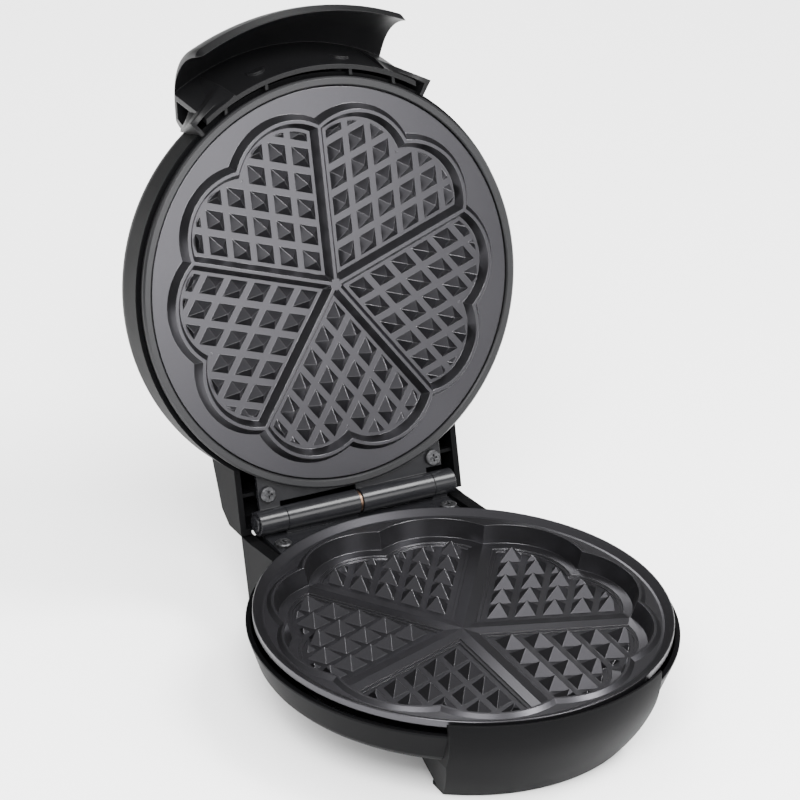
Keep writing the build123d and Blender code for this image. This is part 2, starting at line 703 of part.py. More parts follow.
# Base casing: tub and hinge block, with a deck between the block's rails for the hinge
inset_block = [
    (BLOCK_FRONT + WALL, -BLOCK_HEM - 1),
    (BLOCK_BACK - WALL, -BLOCK_HEM - 1),
    (BLOCK_WAIST[0] - WALL, -BLOCK_WAIST[1]),
    (BLOCK_CORNER[0] - WALL - 0.6, -DECK_DROP - WALL),
    (BLOCK_FRONT + WALL, -DECK_DROP - WALL),
]
with BuildPart(base) as base_casing:
    add(
        prism(
            below(
                [
                    (BLOCK_FRONT, BLOCK_HEM),
                    (BLOCK_BACK, BLOCK_HEM),
                    BLOCK_WAIST,
                    BLOCK_CORNER,
                    RAIL_REAR,
                    RAIL_FRONT,
                    (BLOCK_FRONT, RAIL_FRONT[1]),
                ]
            ),
            BLOCK_HALF,
        )
    )
    add(prism(inset_block, BLOCK_HALF - WALL), mode=Mode.SUBTRACT)
    with Locations((0, BLOCK_CORNER[0] + GAP, -DECK_DROP)):
        Box(
            2 * RAIL_INNER,
            FAR,
            DECK_DROP,
            align=(Align.CENTER, Align.MAX, Align.MIN),
            mode=Mode.SUBTRACT,
        )
    add(tub(0, -RIM_DROP))
    add(tub(WALL, 0), mode=Mode.SUBTRACT)
    with Locations((0, 0, -RIM_DROP)):
        Cylinder(PLATE_CLEARANCE_R, RIM_DROP, align=bottom, mode=Mode.SUBTRACT)
    with Locations(*[(x, y, -FLOOR_DROP) for x, y in plate_boss_spots]):
        Cylinder(SCREW_R + SCREW_PLAY, WALL, align=bottom, mode=Mode.SUBTRACT)
    with Locations((0, WIRE_DOOR_BACK, -FLOOR_DROP)):
        Box(*WIRE_DOOR, WALL, align=bottom, mode=Mode.SUBTRACT)
    with Locations(*[(x, y, -DECK_DROP) for x, y in LEAF_SCREWS]):
        Cylinder(BOSS_R, WALL + LEAF_BOSS, align=top)
        Cylinder(SCREW_R + RUNNING, WALL + LEAF_BOSS, align=top, mode=Mode.SUBTRACT)
    with Locations(*[(x, y, COVER - COVER_DROP) for x, y in COVER_BOSSES]):
        Cylinder(BOSS_R, COVER_BOSS_RISE, align=bottom)
        Cylinder(SCREW_R + RUNNING, COVER_BOSS_RISE - WALL, align=bottom, mode=Mode.SUBTRACT)
    apron_screw_spots = [
        polar(APRON_SCREW_AT, FRONT + turn) for turn in (-APRON_SCREW_SPREAD, APRON_SCREW_SPREAD)
    ]
    with Locations(*[(x, y, -FLOOR_DROP + WALL / 2) for x, y in apron_screw_spots]):
        Cylinder(BOSS_R, LEAF_BOSS, align=bottom)
    with Locations(*[(x, y, -FLOOR_DROP) for x, y in apron_screw_spots]):
        Cylinder(SCREW_R + RUNNING, LEAF_BOSS, align=bottom, mode=Mode.SUBTRACT)
    gland_run = (BLOCK_CORNER[0] - BLOCK_WAIST[0]) / (BLOCK_WAIST[1] - BLOCK_CORNER[1])
    gland_back = BLOCK_WAIST[0] + gland_run * (BLOCK_WAIST[1] - GLAND_HEIGHT)
    gland_plane = Plane(
        (base.location * Location((GLAND_SIDE, gland_back, -GLAND_HEIGHT))).position,
        x_dir=(1, 0, 0),
        z_dir=(0, 1, -gland_run),
    )
    with BuildSketch(gland_plane):
        Circle(GLAND_R + RUNNING)
    extrude(amount=2 * WALL, both=True, mode=Mode.SUBTRACT)
finish(base_casing, "base_casing")

# Cord gland: a bush through the rear wall, flanged outside and nipped by a nut inside
with BuildPart() as cord_gland:
    with BuildSketch(gland_plane):
        Circle(GLAND_FLANGE_R)
    extrude(amount=GLAND_FLANGE)
    with BuildSketch(gland_plane):
        Circle(GLAND_R)
    extrude(amount=-3 * WALL)
    with BuildSketch(gland_plane.offset(-WALL - GAP)):
        RegularPolygon(GLAND_FLANGE_R, 6)
    extrude(amount=-GLAND_FLANGE)
    chamfer(cord_gland.edges().sort_by(Axis.Y)[-1], GLAND_FLANGE / 3)
    with BuildSketch(gland_plane.offset(GLAND_FLANGE)):
        Circle(GLAND_BORE_R)
    extrude(amount=-FAR, mode=Mode.SUBTRACT)
finish(cord_gland, "cord_gland")

def gussets():
    """Plates behind the apron's two side edges, lower at the front than at the rear."""
    with BuildPart() as plates:
        for hand in (-1, 1):
            inner = [(hand * (x - APRON_WALL), -drop) for x, drop in APRON_EDGE]
            outer = [(hand * (x + APRON_WALL), -drop) for x, drop in reversed(APRON_EDGE)]
            with BuildSketch(Plane.XZ):
                Polygon(*inner, *outer, align=None)
            extrude(amount=FAR)
        add(prism(below(GUSSET_OUTLINE), FAR), mode=Mode.INTERSECT)
        backing = [(radius - APRON_WALL / 2, drop) for radius, drop in APRON_OUTLINE]
        add(turned(below([(0, 0), *backing, (0, APRON_HEM)])), mode=Mode.INTERSECT)
    return plates.part


# Front apron: curved moulding that wraps the tub's front and is the front foot
hem_slope = (APRON_OUTLINE[4][0] - APRON_OUTLINE[5][0]) / (APRON_OUTLINE[5][1] - APRON_OUTLINE[4][1])
with BuildPart(base) as front_apron:
    apron_section = [
        APRON_OUTLINE[-1],
        (FOOT_SHELF_R, APRON_HEM),
        (FOOT_SHELF_R, APRON_HEM - APRON_SHELF),
        (APRON_OUTLINE[5][0] - APRON_WALL + hem_slope * APRON_SHELF, APRON_HEM - APRON_SHELF),
        (APRON_OUTLINE[4][0] - APRON_WALL, APRON_OUTLINE[4][1]),
        (APRON_OUTLINE[3][0] - APRON_WALL, FLOOR_DROP + APRON_SHELF),
        (APRON_SHELF_R, FLOOR_DROP + APRON_SHELF),
        (APRON_SHELF_R, FLOOR_DROP - WALL),
        (RIM_R - WALL, 0),
        APRON_OUTLINE[0],
    ]
    add(turned(below(apron_section), FRONT - APRON_HALF_ANGLE, 2 * APRON_HALF_ANGLE, below(APRON_OUTLINE)))
    add(gussets())
    with BuildSketch(Plane(origin=base.origin, x_dir=(1, 0, 0), z_dir=(0, -1, 0))):
        Polygon(
            *[(-x, -drop) for x, drop in APRON_EDGE],
            *[(x, -drop) for x, drop in reversed(APRON_EDGE)],
            align=None,
        )
    extrude(amount=FAR, mode=Mode.INTERSECT)
    add(tub(0, 0), mode=Mode.SUBTRACT)
    with Locations(*[(x, y, -FLOOR_DROP) for x, y in apron_screw_spots]):
        Cylinder(SCREW_R + SCREW_PLAY, 2 * APRON_SHELF, mode=Mode.SUBTRACT)
    front_feet_spots = [
        polar(FRONT_FOOT_AT, FRONT + turn) for turn in (-FRONT_FOOT_SPREAD, FRONT_FOOT_SPREAD)
    ]
    with Locations(*[(x, y, -APRON_HEM) for x, y in front_feet_spots]):
        Cylinder(STEM_R + RUNNING, APRON_SHELF, align=bottom, mode=Mode.SUBTRACT)
finish(front_apron, "front_apron")

# Rear bottom cover: closes the hinge block underneath
with BuildPart(base) as rear_bottom_cover:
    with Locations((0, BLOCK_FRONT + WALL + GAP, -COVER_DROP)):
        Box(
            2 * (BLOCK_HALF - WALL - GAP),
            BLOCK_BACK - BLOCK_FRONT - 2 * WALL - 2 * GAP,
            COVER,
            align=(Align.CENTER, Align.MIN, Align.MIN),
        )
    with Locations(*[(x, y, -COVER_DROP) for x, y in COVER_BOSSES]):
        Cylinder(SCREW_R + SCREW_PLAY, COVER, align=bottom, mode=Mode.SUBTRACT)
    with Locations(*[(x, y, -COVER_DROP) for x, y in REAR_FEET]):
        Cylinder(STEM_R + RUNNING, COVER, align=bottom, mode=Mode.SUBTRACT)
finish(rear_bottom_cover, "rear_bottom_cover")


def feet(spots, seat, plate_thickness):
    """Rubber feet from the table up to a seat's height, each with a barbed stem through its plate."""
    height = LIP_HEIGHT - seat
    with BuildPart() as pads:
        with Locations(*[(x, y, -seat) for x, y in spots]):
            Cylinder(FOOT_R, height, align=top)
            Cylinder(STEM_R, plate_thickness, align=bottom)
            with Locations((0, 0, plate_thickness)):
                Cone(STEM_R + 0.8, STEM_R / 2, STEM_R, align=bottom)
    return pads.part


with BuildPart(base) as front_feet:
    add(feet(front_feet_spots, APRON_HEM, APRON_SHELF))
finish(front_feet, "front_feet")

with BuildPart(base) as rear_feet:
    add(feet(REAR_FEET, COVER_DROP, COVER))
finish(rear_feet, "rear_feet")

# Screws driven up from below the base
with BuildPart(base) as lower_plate_screws:
    with Locations(*[(x, y, -FLOOR_DROP) for x, y in plate_boss_spots]):
        add(screw(WALL + 7), rotation=(180, 0, 0))
finish(lower_plate_screws, "lower_plate_screws")

with BuildPart(base) as apron_screws:
    with Locations(*[(x, y, -FLOOR_DROP - APRON_SHELF) for x, y in apron_screw_spots]):
        add(screw(APRON_SHELF + LEAF_BOSS - 1), rotation=(180, 0, 0))
finish(apron_screws, "apron_screws")

with BuildPart(base) as bottom_cover_screws:
    with Locations(*[(x, y, -COVER_DROP) for x, y in COVER_BOSSES]):
        add(screw(COVER + COVER_BOSS_RISE - WALL - 1), rotation=(180, 0, 0))
finish(bottom_cover_screws, "bottom_cover_screws")


def barrel_row(spans, radius):
    """Round bars along the hinge axis over the given spans."""
    with BuildPart() as bars:
        for left, right in spans:
            with BuildSketch(Plane((left, HINGE_BACK, HINGE_UP), x_dir=(0, 1, 0), z_dir=(1, 0, 0))):
                Circle(radius)
            extrude(amount=right - left)
    return bars.part


# Hinge leaves: pressed steel plates, each rolled into its share of the barrels
with BuildPart(base) as lower_hinge_leaf:
    with Locations((0, HINGE_BACK + LEAF_TUCK, -DECK_DROP)):
        Box(2 * LEAF_HALF, HINGE_BACK, LEAF, align=(Align.CENTER, Align.MAX, Align.MIN))
    Cylinder(LOWER_LEAF_R, FAR, mode=Mode.SUBTRACT)
    for left, right in LOWER_BARRELS:
        with Locations((left, HINGE_BACK, -DECK_DROP)):
            Box(
                min(right, LEAF_HALF) - left,
                2 * LEAF_TUCK,
                DECK_DROP + HINGE_UP - PIN_BARREL_R - 1,
                align=(Align.MIN, Align.CENTER, Align.MIN),
            )
    add(barrel_row(LOWER_BARRELS, BARREL_R))
    add(barrel_row(LOWER_BARRELS, PIN_BARREL_R + RUNNING), mode=Mode.SUBTRACT)
    with Locations(*[(x, y, -DECK_DROP) for x, y in LEAF_SCREWS]):
        Cylinder(SCREW_R + SCREW_PLAY, LEAF, align=bottom, mode=Mode.SUBTRACT)
finish(lower_hinge_leaf, "lower_hinge_leaf")

with BuildPart(lid) as upper_hinge_leaf:
    with Locations((0, UPPER_LEAF_BACK, UPPER_LEAF_LOW)):
        Box(2 * LEAF_HALF, HINGE_BACK, LEAF, align=(Align.CENTER, Align.MAX, Align.MIN))
    for left, right in UPPER_BARRELS:
        with Locations((right, HINGE_BACK - LEAF_TUCK, UPPER_LEAF_LOW)):
            Box(
                right - max(left, -LEAF_HALF),
                HINGE_BACK - UPPER_LEAF_BACK,
                LEAF,
                align=(Align.MAX, Align.MAX, Align.MIN),
            )
    Cylinder(UPPER_LEAF_R, FAR, mode=Mode.SUBTRACT)
    add(barrel_row(UPPER_BARRELS, BARREL_R))
    add(barrel_row(UPPER_BARRELS, PIN_BARREL_R + RUNNING), mode=Mode.SUBTRACT)
    with Locations(*[(x, y, UPPER_LEAF_LOW) for x, y in LEAF_SCREWS]):
        Cylinder(SCREW_R + SCREW_PLAY, LEAF, align=bottom, mode=Mode.SUBTRACT)
finish(upper_hinge_leaf, "upper_hinge_leaf")

# Hinge pin, riveted over at both ends, and the washer between the two long barrels
with BuildPart(base) as hinge_pin:
    add(barrel_row([PIN_SPAN], PIN_BARREL_R))
    add(barrel_row([(PIN_SPAN[0] - PIN_HEAD, PIN_SPAN[0])], PIN_HEAD_R))
    add(barrel_row([(PIN_SPAN[1], PIN_SPAN[1] + PIN_HEAD)], PIN_HEAD_R))
    chamfer(hinge_pin.edges().filter_by(GeomType.CIRCLE).group_by(Axis.X)[0], PIN_HEAD / 3)
    chamfer(hinge_pin.edges().filter_by(GeomType.CIRCLE).group_by(Axis.X)[-1], PIN_HEAD / 3)
finish(hinge_pin, "hinge_pin")

with BuildPart(base) as hinge_washer:
    add(barrel_row([WASHER_SPAN], BARREL_R - 0.8))
    add(barrel_row([WASHER_SPAN], PIN_BARREL_R + RUNNING), mode=Mode.SUBTRACT)
finish(hinge_washer, "hinge_washer")

with BuildPart(base) as lower_leaf_screws:
    with Locations(*[(x, y, LEAF - DECK_DROP) for x, y in LEAF_SCREWS]):
        add(screw(LEAF + WALL + LEAF_BOSS - 1))
finish(lower_leaf_screws, "lower_leaf_screws")

with BuildPart(lid) as upper_leaf_screws:
    with Locations(*[(x, y, UPPER_LEAF_LOW) for x, y in LEAF_SCREWS]):
        add(screw(LEAF + LEAF_BOSS), rotation=(180, 0, 0))
finish(upper_leaf_screws, "upper_leaf_screws")

# Ring round the upper plate, with an inner shelf that carries the plate
with BuildPart(lid) as lid_ring:
    add(
        turned(
            [
                (RING_INNER_R, RING_LOW + 0.6),
                (RING_INNER_R + 0.6, RING_LOW),
                (RING_R - 0.8, RING_LOW),
                (RING_R, RING_LOW + 0.8),
                (RING_R, RING_HIGH - 0.5),
                (RING_WEB_R, RING_HIGH),
                (RING_WEB_R, RING_SHELF_HIGH),
                (RING_SHELF_R, RING_SHELF_HIGH),
                (RING_SHELF_R, RING_SHELF_LOW),
                (RING_WEB_R - RING_WEB, RING_SHELF_LOW),
                (RING_WEB_R - RING_WEB, RING_HIGH),
                (RING_INNER_R, RING_HIGH - 0.2),
            ]
        )
    )
    with Locations((0, 0, UPPER_LEAF_LOW - GAP)):
        Box(
            2 * (LEAF_HALF + GAP),
            FAR,
            LEAF + 2 * GAP,
            align=(Align.CENTER, Align.MIN, Align.MIN),
            mode=Mode.SUBTRACT,
        )
    ring_boss_spots = [polar(RING_BOSS_AT, angle) for angle in RING_BOSS_ANGLES]
    with Locations(*[(x, y, RING_SHELF_LOW) for x, y in ring_boss_spots + upper_boss_spots]):
        Cylinder(
            SCREW_R + SCREW_PLAY, RING_SHELF_HIGH - RING_SHELF_LOW, align=bottom, mode=Mode.SUBTRACT
        )
finish(lid_ring, "lid_ring")

with BuildPart(lid) as upper_plate_screws:
    with Locations(*[(x, y, RING_SHELF_HIGH) for x, y in upper_boss_spots]):
        add(screw(RING_SHELF_HIGH - UPPER_FACE - UPPER_THICK))
finish(upper_plate_screws, "upper_plate_screws")

# Flat-headed screws from under the ring's shelf into the shell's bosses
with BuildPart(lid) as ring_screws:
    with Locations(*[(x, y, RING_SHELF_LOW) for x, y in ring_boss_spots]):
        Cylinder(SCREW_R, RING_SHELF_HIGH - RING_SHELF_LOW + LEAF_BOSS, align=bottom)
        Cylinder(SCREW_HEAD_R, (RING_SHELF_LOW - UPPER_FACE - UPPER_THICK) / 2, align=top)
finish(ring_screws, "ring_screws")


def radial(angle, radius, height):
    """Place on the upright wall at an angle, turned so that its z points back to the axis."""
    return Location((0, 0, 0), (0, 0, angle)) * Location((radius, 0, height), (0, -90, 0))


# Lid shell: round dome and rear block in one moulding, with a pad for the dial
block_inside = [
    (LID_BLOCK[0][0], LID_RIM_HEIGHT - 1),
    (LID_BLOCK[1][0] - LID_WALL, LID_RIM_HEIGHT - 1),
    (LID_BLOCK[2][0] - LID_WALL, LID_BLOCK[2][1] - LID_WALL / 3),
    (LID_BLOCK[3][0] - LID_WALL / 2, LID_BLOCK[3][1] - LID_WALL),
    (LID_BLOCK[4][0], LID_BLOCK[4][1] - LID_WALL),
    (LID_BLOCK[5][0], LID_BLOCK[5][1] - LID_WALL),
]
wall_lean = (LID_RIM_R - LID_BREAK_R) / (LID_BREAK_HEIGHT - LID_RIM_HEIGHT)
grip_screw_r = LID_RIM_R - wall_lean * (GRIP_SCREW_HEIGHT - LID_RIM_HEIGHT)
grip_seat_r = grip_screw_r - LID_WALL + SPOT_FACE
with BuildPart(lid) as lid_shell:
    add(prism(LID_BLOCK, LID_BLOCK_HALF))
    add(dome(0))
    with Locations((0, -DIAL_FORWARD, LID_CROWN - 2 * LID_WALL)):
        Cylinder(DIAL_SEAT_R, DIAL_SEAT_TOP - LID_CROWN + 2 * LID_WALL, align=bottom)
    add(dome(LID_WALL), mode=Mode.SUBTRACT)
    add(prism(block_inside, LID_BLOCK_HALF - LID_BLOCK_WALL), mode=Mode.SUBTRACT)
    with Locations((0, HINGE_BACK, 0)):
        Box(2 * LID_NOTCH_HALF, FAR, LID_NOTCH_TOP, align=bottom, mode=Mode.SUBTRACT)
    with Locations(*[(x, y, UPPER_LEAF_LOW + LEAF) for x, y in LEAF_SCREWS]):
        Cylinder(BOSS_R, LID_BLOCK[3][1] - UPPER_LEAF_LOW - LEAF - 1, align=bottom)
        Cylinder(SCREW_R + RUNNING, LEAF_BOSS, align=bottom, mode=Mode.SUBTRACT)
    for hand in (Align.MIN, Align.MAX):
        edge = LEAF_HALF + 2 * GAP if hand is Align.MIN else -LEAF_HALF - 2 * GAP
        with Locations((edge, LID_RIB_BACK, LID_RIM_HEIGHT + 2)):
            Box(
                LID_BLOCK_HALF - LEAF_HALF - 2 * GAP - 1,
                LID_RIB,
                LID_BLOCK[3][1] - LID_RIM_HEIGHT - 3,
                align=(hand, Align.CENTER, Align.MIN),
            )
    with Locations(*[(x, y, RING_SHELF_HIGH) for x, y in ring_boss_spots]):
        Cylinder(BOSS_R, RING_BOSS_TOP - RING_SHELF_HIGH, align=bottom)
        Cylinder(SCREW_R + RUNNING, LEAF_BOSS + 1, align=bottom, mode=Mode.SUBTRACT)
    with Locations(*[(x, y, CARRIER_LOW + CARRIER[2]) for x, y in CARRIER_POSTS]):
        Cylinder(BOSS_R, CARRIER_POST_TOP - CARRIER_LOW - CARRIER[2], align=bottom)
        Cylinder(SCREW_R + RUNNING, LEAF_BOSS, align=bottom, mode=Mode.SUBTRACT)
    with Locations((0, -DIAL_FORWARD, 0)):
        Cylinder(SHAFT_R + 2 * SCREW_PLAY, FAR, align=bottom, mode=Mode.SUBTRACT)
    with Locations(*[(x, y, 0) for x, y in LENS_AT]):
        Cylinder(LENS_R + RUNNING, FAR, align=bottom, mode=Mode.SUBTRACT)
    with Locations(*[radial(angle, grip_seat_r, GRIP_SCREW_HEIGHT) for angle in GRIP_SCREW_ANGLES]):
        Cylinder(SCREW_HEAD_R + SCREW_PLAY, 2 * SCREW_HEAD, align=bottom, mode=Mode.SUBTRACT)
        Cylinder(SCREW_R + SCREW_PLAY, 2 * LID_WALL, mode=Mode.SUBTRACT)
finish(lid_shell, "lid_shell")


def grip_ribs():
    """Ribs across the narrow space between the lid's wall and the grip's rim band."""
    with BuildPart() as ribs:
        with Locations(*[(x, 0, GRIP_BAND_LOW) for x in GRIP_RIBS]):
            Box(GRIP_RIB, FAR, GRIP_SHOULDER[1], align=(Align.CENTER, Align.MAX, Align.MIN))
        add(
            turned(
                [
                    (LID_BREAK_R, GRIP_BAND_LOW + GRIP_RIB_RISE),
                    (GRIP_BAND_R - GRIP_WALL / 2, GRIP_BAND_LOW + GRIP_RIB_RISE),
                    (GRIP_CREASE[0] - GRIP_WALL / 2, GRIP_CREASE[1]),
                    (LID_BREAK_R, GRIP_SHOULDER[1]),
                ]
            ),
            mode=Mode.INTERSECT,
        )
    return ribs.part


def wing(hand):
    """Rim band's flared end beside the hood: a curved web, open towards the middle."""
    with BuildPart() as web:
        for shrink, mode in ((0.0, Mode.ADD), (GRIP_WALL, Mode.SUBTRACT)):
            for angle, outline in ((WING_FROM, WING_ROOT), (WING_TO, WING_TIP)):
                with BuildSketch(section(Plane.XY, FRONT + hand * (angle - shrink / 2))):
                    Polygon(*[(r - shrink, z - shrink) for r, z in outline], align=None)
            loft(ruled=True, mode=mode)
    return web.part


def ring_cut(outline, curved=()):
    """Channel turned about the upright axis, wider than the grip, its outline begun by a curve."""
    with BuildPart() as cut:
        with BuildSketch(section(Plane.XY, FRONT - GRIP_HALF_ANGLE)):
            with BuildLine():
                if curved:
                    Spline(*curved)
                Polyline(*outline)
            make_face()
        revolve(axis=Axis.Z, revolution_arc=2 * GRIP_HALF_ANGLE)
    return cut.part


def hood():
    """Hood of the grip, cut off upright at both cheeks, over the channel for the fingers."""
    band_foot = (GRIP_BAND_R, GRIP_BAND_LOW)
    inner_foot = (GRIP_BAND_R - GRIP_WALL, GRIP_BAND_LOW)
    root_foot = (GRIP_ROOT[0], GRIP_BAND_LOW)
    behind_crease = (GRIP_CREASE[0] - GRIP_WALL - 0.8, GRIP_CREASE[1] - 2.6)
    with BuildPart() as shade:
        add(ring_cut([GRIP_SKIN[-1], GRIP_LIP, root_foot, GRIP_SKIN[0]], GRIP_SKIN))
        Box(2 * GRIP_HALF, 2 * FAR, FAR, mode=Mode.INTERSECT)
        cheeks = shade.faces().filter_by(Axis.X).sort_by(Axis.X)
        for cheek in (cheeks[0], cheeks[-1]):
            rim = cheek.edges().sort_by(lambda edge: edge.length)
            fillet([rim[0], rim[-1]], GRIP_EDGE)
        channel = ring_cut([GRIP_CREASE, band_foot, GRIP_LIP], [GRIP_LIP, *GRIP_HOLLOW, GRIP_CREASE])
        add(channel, mode=Mode.SUBTRACT)
        pocket = [inner_foot, behind_crease, GRIP_SHOULDER, GRIP_ROOT, root_foot, inner_foot]
        add(ring_cut(pocket), mode=Mode.SUBTRACT)
    return shade.part


# Front grip: hood over the finger channel, and a rim band stiffened by ribs
grip_screw_top = grip_screw_r + GRIP_SCREW_LENGTH
grip_boss_spots = [radial(angle, grip_screw_top, GRIP_SCREW_HEIGHT) for angle in GRIP_SCREW_ANGLES]
grip_screw_spots = [radial(angle, grip_seat_r, GRIP_SCREW_HEIGHT) for angle in GRIP_SCREW_ANGLES]
with BuildPart(lid) as lid_grip:
    add(hood())
    for hand in (-1, 1):
        add(wing(hand))
    add(grip_ribs())
    with Locations(*grip_boss_spots):
        Cylinder(BOSS_R, GRIP_SCREW_LENGTH + 1, align=bottom)
    add(dome(0), mode=Mode.SUBTRACT)
    with Locations(*grip_screw_spots):
        Cylinder(SCREW_R + RUNNING, LID_WALL + GRIP_SCREW_LENGTH - 1, align=top, mode=Mode.SUBTRACT)
finish(lid_grip, "lid_grip")

with BuildPart(lid) as grip_screws:
    with Locations(*grip_screw_spots):
        add(screw(LID_WALL + GRIP_SCREW_LENGTH - 2))
finish(grip_screws, "grip_screws")

# Heat reflectors: dished sheets, one on the floor of the tub, one on posts behind the upper plate
floor_height = -FLOOR_DROP + WALL
dish = [
    (0, 0),
    (REFLECTOR_R, 0),
    (REFLECTOR_R, REFLECTOR_RIM),
    (REFLECTOR_R - SHEET, REFLECTOR_RIM),
    (REFLECTOR_R - SHEET, SHEET),
    (0, SHEET),
]
with BuildPart(base) as lower_reflector:
    with Locations((0, 0, floor_height)):
        add(turned(dish))
    with Locations(*[(x, y, floor_height) for x, y in plate_boss_spots]):
        Cylinder(BOSS_R + GAP, SHEET, align=bottom, mode=Mode.SUBTRACT)
finish(lower_reflector, "lower_reflector")

upper_wire_back = pin_along + PIN_LENGTH + UPPER_WIRE_RUN
upper_wire_holes = [(hand * pin_across, upper_wire_back) for hand in (-1, 1)]
sheet_top = UPPER_REFLECTOR_HEIGHT + SHEET
lug_spots = [(hand * (THERMOSTAT[0] / 2 + LUG / 2), -DIAL_FORWARD) for hand in (-1, 1)]
with BuildPart(lid) as upper_reflector:
    with Locations((0, 0, UPPER_REFLECTOR_HEIGHT)):
        add(turned(dish))
    with Locations(*[(x, y, UPPER_REFLECTOR_HEIGHT) for x, y in post_spots + lug_spots]):
        Cylinder(SCREW_R + SCREW_PLAY, SHEET, align=bottom, mode=Mode.SUBTRACT)
    with Locations(*[(x, y, UPPER_REFLECTOR_HEIGHT) for x, y in upper_wire_holes]):
        Cylinder(2 * WIRE_R, SHEET, align=bottom, mode=Mode.SUBTRACT)
finish(upper_reflector, "upper_reflector")

with BuildPart(lid) as upper_reflector_screws:
    with Locations(*[(x, y, sheet_top) for x, y in post_spots]):
        add(screw(SHEET + LEAF_BOSS))
finish(upper_reflector_screws, "upper_reflector_screws")

# Adjustable thermostat on the upper reflector, under the dial
with BuildPart(lid) as lid_thermostat:
    with Locations((0, -DIAL_FORWARD, sheet_top)):
        Box(*THERMOSTAT, align=bottom)
        upright = lid_thermostat.edges().filter_by(lambda edge: abs(edge.tangent_at(0).dot(lid.z_dir)) > 0.9)
        fillet(upright, 2)
        Box(THERMOSTAT[0] + 2 * LUG, LUG, LUG_THICK, align=bottom)
    with Locations(*[(x, y, sheet_top) for x, y in lug_spots]):
        Cylinder(SCREW_R + SCREW_PLAY, LUG_THICK, align=bottom, mode=Mode.SUBTRACT)
    with Locations((0, -DIAL_FORWARD, SHAFT_BASE)):
        Cylinder(SHAFT_R + RUNNING, FAR, align=bottom, mode=Mode.SUBTRACT)
finish(lid_thermostat, "lid_thermostat")

with BuildPart(lid) as thermostat_screws:
    with Locations(*[(x, y, sheet_top + LUG_THICK) for x, y in lug_spots]):
        add(screw(LUG_THICK + SHEET + 2))
finish(thermostat_screws, "thermostat_screws")

with BuildPart(lid) as dial_shaft:
    with Locations((0, -DIAL_FORWARD, SHAFT_BASE)):
        Cylinder(SHAFT_R, SHAFT_TOP - SHAFT_BASE, align=bottom)
    chamfer(dial_shaft.edges().filter_by(GeomType.CIRCLE), SHAFT_R / 8)
finish(dial_shaft, "dial_shaft")

# Temperature dial: low skirt, fluted knob and a pointer bar across its top
dial_low = DIAL_SEAT_TOP + GAP
with BuildPart(lid) as temperature_dial:
    with Locations((0, -DIAL_FORWARD, dial_low)):
        Cylinder(DIAL_SKIRT_R, DIAL_SKIRT, align=bottom)
        Cone(DIAL_R, DIAL_R - 1, DIAL_HEIGHT, align=bottom)
        with PolarLocations(DIAL_R + FLUTE_R / 2, FLUTES):
            with Locations((0, 0, DIAL_SKIRT)):
                Cylinder(FLUTE_R, DIAL_HEIGHT, align=bottom, mode=Mode.SUBTRACT)
        with Locations((0, (DIAL_R - 3) / 2, DIAL_HEIGHT)):
            Box(POINTER, DIAL_R - 3, POINTER / 2, mode=Mode.SUBTRACT)
        Cylinder(SHAFT_R + RUNNING, SHAFT_TOP + GAP - dial_low, align=bottom, mode=Mode.SUBTRACT)
finish(temperature_dial, "temperature_dial")

# Indicator lamps under their lenses, held in a carrier that hangs from two posts in the shell
for (x, y), lens_name in zip(LENS_AT, ("power_lens", "ready_lens")):
    with BuildPart(lid) as lens:
        with Locations((x, y, LENS_FLANGE[0])):
            Cylinder(LENS_FLANGE_R, LENS_FLANGE[1] - LENS_FLANGE[0], align=bottom)
            Cylinder(LENS_R, LENS_TOP - LENS_FLANGE[0], align=bottom)
        fillet(lens.edges().filter_by(GeomType.CIRCLE).sort_by(spindle(lid))[-1], LENS_R / 4)
    finish(lens, lens_name)

with BuildPart(lid) as indicator_lamps:
    with Locations(*[(x, y, LAMP_SPAN[0]) for x, y in LENS_AT]):
        Cylinder(LAMP_R, LAMP_SPAN[1] - LAMP_SPAN[0], align=bottom)
finish(indicator_lamps, "indicator_lamps")

with BuildPart(lid) as lamp_carrier:
    with Locations((0, -CARRIER_FORWARD, CARRIER_LOW)):
        Box(*CARRIER, align=bottom)
    with Locations(*[(x, y, CARRIER_LOW) for x, y in LENS_AT]):
        Cylinder(LAMP_R + RUNNING, CARRIER[2], align=bottom, mode=Mode.SUBTRACT)
    with Locations(*[(x, y, CARRIER_LOW) for x, y in CARRIER_POSTS]):
        Cylinder(SCREW_R + SCREW_PLAY, CARRIER[2], align=bottom, mode=Mode.SUBTRACT)
finish(lamp_carrier, "lamp_carrier")

with BuildPart(lid) as carrier_screws:
    with Locations(*[(x, y, CARRIER_LOW) for x, y in CARRIER_POSTS]):
        add(screw(CARRIER[2] + LEAF_BOSS - 1), rotation=(180, 0, 0))
finish(carrier_screws, "carrier_screws")

# Electrical pieces in the base: limiter under the plate, fuse on the reflector, terminals on the cover
with BuildPart(base) as limiter:
    with Locations((0, 0, -LOWER_UNDER)):
        Cylinder(LIMITER_R, LIMITER_HEIGHT, align=top)
        with Locations((0, 0, -LIMITER_HEIGHT)):
            Cylinder(LIMITER_R / 2, 1, align=top)
finish(limiter, "limiter")

with BuildPart(base) as thermal_fuse:
    with Locations(Location((*FUSE_AT, floor_height + SHEET + FUSE_R), (0, 90, 0))):
        Cylinder(FUSE_R, FUSE_LENGTH)
        Cylinder(WIRE_R / 2, 2 * FUSE_LENGTH)
finish(thermal_fuse, "thermal_fuse")

cover_top = COVER - COVER_DROP
with BuildPart(base) as terminal_block:
    with Locations((0, WIRE_DOOR_BACK, cover_top)):
        Box(*TERMINALS, align=bottom)
        with GridLocations(TERMINALS[0] / 3, 1, 3, 1):
            with Locations((0, TERMINALS[1] / 4, TERMINALS[2])):
                Cylinder(SCREW_R, TERMINALS[2] / 2, mode=Mode.SUBTRACT)
finish(terminal_block, "terminal_block")

